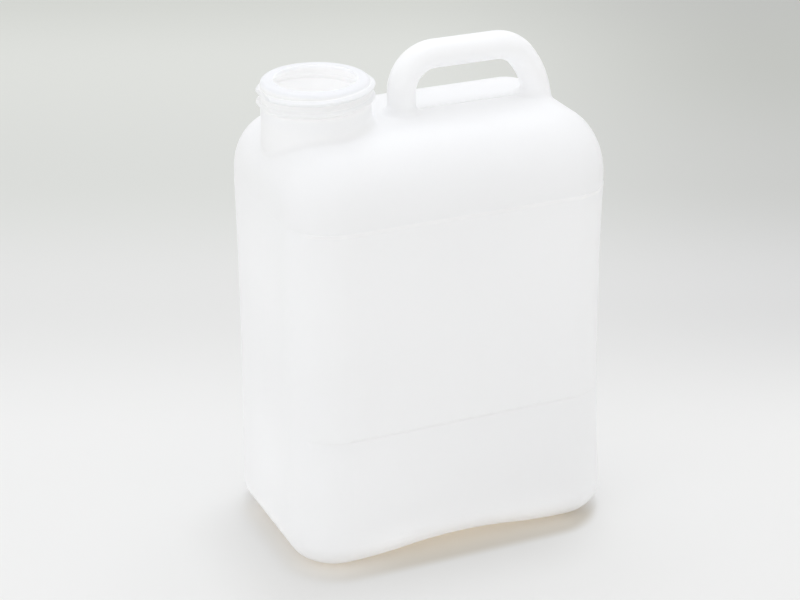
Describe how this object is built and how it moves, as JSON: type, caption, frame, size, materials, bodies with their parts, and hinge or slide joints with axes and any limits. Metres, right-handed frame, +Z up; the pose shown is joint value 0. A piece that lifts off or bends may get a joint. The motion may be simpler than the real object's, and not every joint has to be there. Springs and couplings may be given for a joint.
{
  "type": "plastic jerrycan",
  "caption": "Wide-necked translucent plastic jerrycan, with a screw-threaded mouth at one end, an arched hollow handle and an arched base.",
  "frame": {"origin": "on the floor, under the middle of the body", "axes": "+Z up, X along the long side with the neck towards -X, Y across the short side"},
  "size_m": [0.2895, 0.1862, 0.4229],
  "materials": {
    "natural_polyethylene": "satin"
  },
  "bodies": {
    "root": {"jerrycan_shell": "natural_polyethylene"}
  },
  "joints": []
}
